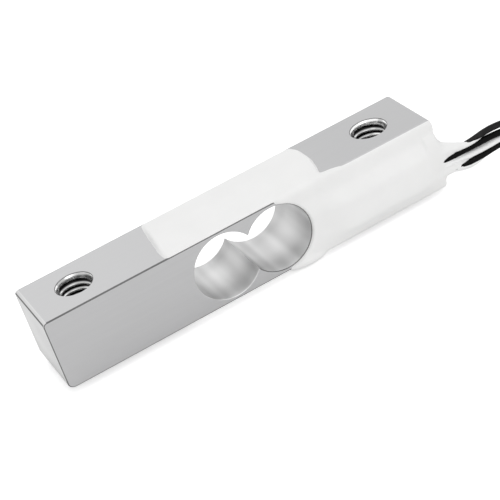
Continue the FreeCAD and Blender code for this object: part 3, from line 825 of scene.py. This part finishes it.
siliconeValues = {
    # the bar's skin, measured round the section from its far upper edge
    "barHalf": 6.35,
    "barTall": 12.7,
    "farEdge": 6.3,
    "cornerRadius": 0.35,
    "topUntil": 12.6,
    "sideFrom": 12.85,
    "sideTop": 12.35,
    "underFrom": 25.62,
    "buried": 0.6,
    "sunk": -0.25,
    # the wires from the gauges to the board make it thicker between these
    "wiresFrom": (5.5, 7.5),
    "wiresTo": (13, 15),
    # the patch over the top
    "farInset": 0.12,
    "farThickness": 0.16,
    "nearThickness": 0.34,
    "crownRise": 0.55,
    "crownSpan": 12.1,
    "wireRise": 0.2,
    "wireRiseFrom": (9.5, 11.5),
    "patchUntil": 16,
    "patchEdge": 0.55,
    "patchCorner": 0.5,
    # the coat over the wired side, right of the bores
    "coatSpan": (5.9, 35.25),
    "coatFrom": 11.2,
    "coatTop": 12.3,
    "coatFoot": 25.6,
    "coatThin": 0.34,
    "coatCrown": 1.75,
    "crownFoot": (0.0, 3.2),
    "crownTop": (7.0, 10.4),
    "crownStart": (10.5, 17.0),
    "crownAtBore": 0.12,
    "endTaper": 0.45,
    "endTaperFrom": (30.5, 34.8),
    "coatEdge": 0.6,
    "coatCorner": 0.4,
    "coatRound": 0.3,
    "wireBump": 0.3,
    "wireBumpTo": (13.0, 15.0),
    # the pad under the thin walls
    "padSpan": (-13.6, 15.4),
    "padHalf": 4.75,
    "padThickness": 1.08,
    "padEdge": 0.8,
    "padCorner": 1.2,
    "padRound": 0.6,
    # the mesh
    "from": -14.4,
    "to": 35.7,
    "round": 37.3,
    "hiddenEnd": 34.5,
    "step": 0.3,
    "voxel": 0.2,
    "smoothFactor": 0.5,
    "smoothRounds": 10,
    "neckSteps": 40,
    "beadSteps": 24,
    "rimSteps": 160,
    "holeSteps": 48,
}
# edges of the patch on the upper face, as (y, x)
patchRight = [(-7, 14.3), (-5.25, 14.6), (-3.3, 15.2), (0, 15.9), (3.35, 15.9), (5.0, 15.55),
              (6.25, 15.0), (6.4, 14.9)]
patchLeft = [(-7, -13.66), (-5.5, -13.66), (-3.4, -13.6), (-1, -13.3), (2.5, -12.9),
             (5.6, -12.5), (6.4, -12.4)]
# how low the patch comes over the near edge, as (x, z), and how far the coat laps over it
patchFoot = [(-13.9, 12.44), (-6.8, 12.44), (-2.3, 12.46), (6.0, 12.49)]
coatLap = [(4, 0.4), (14.8, 0.75), (16.5, 0.45), (18, 0.0), (20, -0.12), (36, -0.15)]
# rings of the neck: x, middle height, half height, middle y, half width
neckRings = [
    (32.6, 5.9, 4.6, -6.6, 1.3), (33.8, 6.0, 4.5, -6.6, 1.15), (34.6, 6.1, 4.35, -6.6, 1.0),
    (35.25, 5.4, 3.5, -6.6, 0.88), (35.8, 5.0, 3.15, -6.6, 0.8), (36.6, 4.75, 2.9, -6.58, 0.7),
    (37.6, 4.42, 2.7, -6.55, 0.62), (38.8, 4.1, 2.42, -6.55, 0.55),
    (39.5, 3.95, 2.2, -6.58, 0.48), (39.9, 3.95, 1.6, -6.6, 0.3),
]
# the beads that stay over the uppermost lead and under the lowest: x, y, z, radius
beadRings = [
    (33.4, -6.85, 6.3, 0.75), (35.5, -6.8, 6.35, 0.85), (37.5, -6.7, 6.05, 0.8),
    (39.0, -6.74, 5.62, 0.7), (40.2, -6.88, 5.44, 0.55), (41.6, -6.98, 5.5, 0.43),
    (42.8, -7.02, 5.62, 0.28), (43.6, -7.05, 5.72, 0.12),
]
lowBeadRings = [
    (33.4, -6.8, 2.8, 0.75), (35.2, -6.8, 2.8, 0.8), (36.6, -6.75, 2.6, 0.74),
    (38.0, -6.87, 2.12, 0.69), (39.4, -6.98, 1.72, 0.54), (40.8, -7.05, 1.68, 0.45),
    (42.0, -7.1, 1.75, 0.28), (43.0, -7.1, 1.9, 0.12),
]
lipValues = {
    "middle": 8.3,
    "halfLength": 3.7,
    "y": -5.8,
    "z": 0.05,
    "halfHeight": 0.95,
    "halfWidth": 1.45,
    "rings": 16,
    "steps": 32,
    "blunt": 0.05,
}
# the silicone stands back from the bores and the right hole: distance along, radius
rimRows = [(-3, 5.8), (6.35, 5.8), (6.8, 5.95), (7.2, 6.3), (9.5, 8.0)]
holeRows = [(-9, 3.5), (9, 3.5)]


def smoothStep(low, high, x):
    u = np.clip((x - low) / (high - low), 0.0, 1.0)
    return u * u * (3 - 2 * u)


def softMin(a, b, k):
    h = np.clip(0.5 + 0.5 * (b - a) / k, 0, 1)
    return b + (a - b) * h - k * h * (1 - h)


def readTable(table, where):
    return np.interp(where, [row[0] for row in table], [row[1] for row in table])


def swell(inside, width, thickness):
    # thickness rises like a drop's edge over width, and sinks under the skin outside
    u = np.clip(inside / width, 0, 1)
    return np.where(inside > 0, thickness * np.sqrt(1 - (1 - u) ** 2),
                    np.maximum(siliconeValues["sunk"], inside))


def sectionPoint(s):
    # a point on the bar's skin and its outward normal, s millimetres round from the far edge
    v = siliconeValues
    r, half, tall = v["cornerRadius"], v["barHalf"], v["barTall"]
    quarter = r * math.pi / 2
    topEnd = v["farEdge"] + half - r
    frontStart = topEnd + quarter
    frontEnd = frontStart + tall - 2 * r
    underStart = frontEnd + quarter
    spans = [s < topEnd, s < frontStart, s < frontEnd, s < underStart, s >= underStart]
    a = (s - topEnd) / r
    b = (s - frontEnd) / r
    flat = 0 * s
    y = np.select(spans, [v["farEdge"] - s, r - half - r * np.sin(a), flat - half,
                          r - half - r * np.cos(b), r - half + s - underStart])
    z = np.select(spans, [flat + tall, tall - r + r * np.cos(a), tall - r - (s - frontStart),
                          r - r * np.sin(b), flat])
    ny = np.select(spans, [flat, -np.sin(a), flat - 1, -np.cos(b), flat])
    nz = np.select(spans, [flat + 1, np.cos(a), flat, -np.sin(b), flat - 1])
    return y, z, ny, nz


def patchThickness(x, s, y, overWires):
    # over the upper face, and wrapped a little over the near edge
    v = siliconeValues
    foot = v["sideFrom"] + v["sideTop"] - readTable(patchFoot, x)
    rowY = np.where(s < v["topUntil"], y, -v["barHalf"])
    sides = softMin(x - readTable(patchLeft, rowY), readTable(patchRight, rowY) - x,
                    v["patchCorner"])
    ends = softMin(s - v["farInset"], foot - s, v["coatRound"])
    inside = softMin(sides, ends, v["patchCorner"])
    across = np.clip(s / v["crownSpan"], 0, 1)
    thick = v["farThickness"] + (v["nearThickness"] - v["farThickness"]) * across
    thick = thick + v["crownRise"] * (1 - (2 * across - 1) ** 2)
    thick = thick + v["wireRise"] * overWires * smoothStep(*v["wireRiseFrom"], s)
    return np.where(s > v["patchUntil"], v["sunk"], swell(inside, v["patchEdge"], thick))


def coatThickness(x, s, z, overWires):
    # a crown that fades towards the foot, the bores and the leads' end
    v = siliconeValues
    left, right = v["coatSpan"]
    wide = softMin(x - left, right - x, v["coatRound"])
    top = v["coatTop"] - readTable(coatLap, x)
    high = softMin(s - top, v["coatFoot"] - s, v["coatRound"])
    bump = smoothStep(*v["crownFoot"], z) * (1 - smoothStep(*v["crownTop"], z))
    low = v["crownAtBore"]
    bump = bump * (low + (1 - low) * smoothStep(*v["crownStart"], x))
    bump = bump * (1 - v["endTaper"] * smoothStep(*v["endTaperFrom"], x))
    crown = v["coatThin"] + (v["coatCrown"] - v["coatThin"]) * bump
    crown = crown + v["wireBump"] * overWires * (1 - smoothStep(*v["wireBumpTo"], s))
    coat = swell(softMin(wide, high, v["coatCorner"]), v["coatEdge"], crown)
    return np.where((s > v["underFrom"]) | (s < v["coatFrom"]), v["sunk"], coat)


def padThickness(x, s, y):
    v = siliconeValues
    left, right = v["padSpan"]
    wide = softMin(x - left, right - x, v["padCorner"])
    deep = softMin(v["padHalf"] + y, v["padHalf"] - y, v["padRound"])
    pad = swell(softMin(wide, deep, v["padCorner"]), v["padEdge"], v["padThickness"])
    return np.where(s > v["underFrom"], pad, v["sunk"])


def makeSheet():
    v = siliconeValues
    x, s = np.meshgrid(np.arange(v["from"], v["to"], v["step"]),
                       np.arange(0.0, v["round"], v["step"]), indexing="ij")
    y, z, ny, nz = sectionPoint(s)
    overWires = smoothStep(*v["wiresFrom"], x) * (1 - smoothStep(*v["wiresTo"], x))
    thick = np.maximum(patchThickness(x, s, y, overWires), coatThickness(x, s, z, overWires))
    thick = np.maximum(thick, padThickness(x, s, y))
    # where nothing shows, the sheet ends inside the bar
    x = np.where(thick > 0, x, np.minimum(x, v["hiddenEnd"]))
    rows, columns = x.shape
    outer = np.stack([x, y + ny * thick, z + nz * thick], -1).reshape(-1, 3)
    buried = v["buried"]
    inner = np.stack([x, y - ny * buried, z - nz * buried], -1).reshape(-1, 3)
    inner[:, 1] = np.maximum(inner[:, 1], -v["barHalf"] + buried)
    inner[:, 2] = np.clip(inner[:, 2], buried, v["barTall"] - buried)
    count = rows * columns

    def at(i, j):
        return i * columns + j

    faces = []
    for i in range(rows - 1):
        for j in range(columns - 1):
            quad = (at(i, j), at(i, j + 1), at(i + 1, j + 1), at(i + 1, j))
            faces.append(quad)
            faces.append(tuple(count + k for k in quad[::-1]))
    border = [at(i, 0) for i in range(rows)] + [at(rows - 1, j) for j in range(1, columns)]
    border += [at(i, columns - 1) for i in range(rows - 2, -1, -1)]
    border += [at(0, j) for j in range(columns - 2, 0, -1)]
    for a, b in zip(border, border[1:] + border[:1]):
        faces.append((a, b, count + b, count + a))
    sheet = addMesh("silicone_sheet", np.concatenate([outer, inner]) * mm, faces)
    fixNormals(sheet)
    return sheet


def ringTube(name, rings, steps):
    vertices = []
    for x, z, tall, y, wide in rings:
        for i in range(steps):
            angle = 2 * math.pi * i / steps
            spot = Vector((x, y + wide * math.cos(angle), z + tall * math.sin(angle)))
            vertices.append(spot * mm)
    return wrapRows(name, vertices, steps)


def makeLip():
    # a long drop below the right bore
    v = lipValues
    rings = []
    for i in range(v["rings"] + 1):
        u = math.cos(math.pi * i / v["rings"])
        share = max(math.sqrt(1 - u * u), v["blunt"])
        rings.append((v["middle"] - v["halfLength"] * u, v["z"], v["halfHeight"] * share,
                      v["y"], v["halfWidth"] * share))
    return ringTube("silicone_lip", rings, v["steps"])


def joinThings(things):
    bm = bmesh.new()
    for thing in things:
        bm.from_mesh(thing.data)
    bm.to_mesh(things[0].data)
    bm.free()
    for thing in things[1:]:
        removeThing(thing)
    return things[0]


def pour(thing):
    addModifier(thing, "REMESH", "pour", mode="VOXEL",
                voxel_size=siliconeValues["voxel"] * mm, use_smooth_shade=True)


def makeSilicone():
    v = siliconeValues
    neck = ringTube("silicone_neck", neckRings, v["neckSteps"])
    beads = [ringTube("silicone_bead", [(x, z, r, y, r) for x, y, z, r in rings],
                      v["beadSteps"]) for rings in (beadRings, lowBeadRings)]
    silicone = joinThings([makeSheet(), neck, *beads, makeLip()])
    silicone.name = "silicone_mass"
    pour(silicone)
    bakeModifiers(silicone)
    middle = v["barTall"] / 2 * mm
    cutters = [lathe("rim_cutter", rimRows, (sign * barValues["boreOffset"] * mm, 0, middle),
                     (0, -1, 0), v["rimSteps"]) for sign in (-1, 1)]
    cutters.append(lathe("hole_clearance", holeRows,
                         (barValues["holeOffset"] * mm, 0, middle), (0, 0, 1),
                         v["holeSteps"]))
    cutWith(silicone, cutters)
    pour(silicone)
    addModifier(silicone, "SMOOTH", "settle", factor=v["smoothFactor"],
                iterations=v["smoothRounds"])
    bakeModifiers(silicone)
    dress(silicone, siliconeWhite)
    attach(silicone, root)
    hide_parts("silicone_coating")


makeSilicone()
print("silicone made")


# floor, light and background

studioValues = {
    "floorLevel": -1.11,
    "floorReach": 4.0,
    "floorColour": 0.9,
    "floorRough": 0.9,
    "floorShine": 0.1,
    "floorGlow": 0.5,
    "floorGlowInMetal": 0.15,
    "brightSide": (0, 1, 0.3),
    "dimWorld": 0.7,
    "brightWorld": 0.87,
    # lamps: place, size and power
    "key": ((0.1, 0.05, 0.55), 0.35, 0.25),
    "fill": ((0.05, -0.5, 0.3), 0.4, 0.5),
    "back": ((0.02, 0.42, 0.27), 0.2, 0.032),
}


def plainRays(tree):
    # the rays that see the plain background: from the camera or through clear things, and
    # apart from those the ones that metal reflects
    path = addNode(tree, "ShaderNodeLightPath").outputs
    plain = calc(tree, "MAXIMUM", path["Is Camera Ray"], path["Is Transmission Ray"])
    return plain, path["Is Glossy Ray"]


def makeFloor():
    v = studioValues
    level, reach = v["floorLevel"] * mm, v["floorReach"]
    floor = addMesh("floor", [(-reach, -reach, level), (reach, -reach, level),
                              (reach, reach, level), (-reach, reach, level)],
                    [(0, 1, 2, 3)], smooth=False)
    colour = v["floorColour"]
    material, tree, _ = newMaterial("paleFloor", {
        "Base Color": (colour, colour, colour, 1), "Roughness": v["floorRough"],
        "Specular IOR Level": v["floorShine"]})
    plain, glossy = plainRays(tree)
    strength = calc(tree, "MULTIPLY_ADD", glossy, v["floorGlowInMetal"],
                    calc(tree, "MULTIPLY", plain, v["floorGlow"]))
    glow = addNode(tree, "ShaderNodeEmission", {"Strength": strength}).outputs[0]
    shaded = tree.nodes["Principled BSDF"].outputs[0]
    both = addNode(tree, "ShaderNodeAddShader", {0: shaded, 1: glow}).outputs[0]
    tree.links.new(both, tree.nodes["Material Output"].inputs["Surface"])
    dress(floor, material)


def makeWorld():
    # plain white to the camera and in metal, and a softer light that falls off to the near side
    v = studioValues
    world = bpy.data.worlds.new("studio")
    bpy.context.scene.world = world
    world.use_nodes = True
    tree = world.node_tree
    white = (1, 1, 1, 1)
    place = addNode(tree, "ShaderNodeTexCoord").outputs["Generated"]
    towards = addNode(tree, "ShaderNodeVectorMath", {
        0: place, 1: Vector(v["brightSide"]).normalized()},
        operation="DOT_PRODUCT").outputs["Value"]
    soft = tree.nodes["Background"]
    soft.inputs["Color"].default_value = white
    tree.links.new(spread(tree, towards, v["dimWorld"], v["brightWorld"], (-1, 1)),
                   soft.inputs["Strength"])
    bright = addNode(tree, "ShaderNodeBackground", {"Color": white})
    seen = calc(tree, "MAXIMUM", *plainRays(tree))
    mix = addNode(tree, "ShaderNodeMixShader", {
        "Fac": seen, 1: soft.outputs[0], 2: bright.outputs[0]}).outputs[0]
    tree.links.new(mix, tree.nodes["World Output"].inputs["Surface"])


def addLamp(name):
    place, size, power = studioValues[name]
    lamp = bpy.data.lights.new(name, "AREA")
    lamp.shape = "RECTANGLE"
    lamp.size = size
    lamp.size_y = size
    lamp.energy = power
    thing = linkThing(name, lamp)
    thing.location = place
    thing.rotation_euler = (-Vector(place)).to_track_quat("-Z", "Y").to_euler()


makeFloor()
makeWorld()
for lampName in ("key", "fill", "back"):
    addLamp(lampName)
bpy.context.scene.view_settings.view_transform = "Standard"
print("studio made")
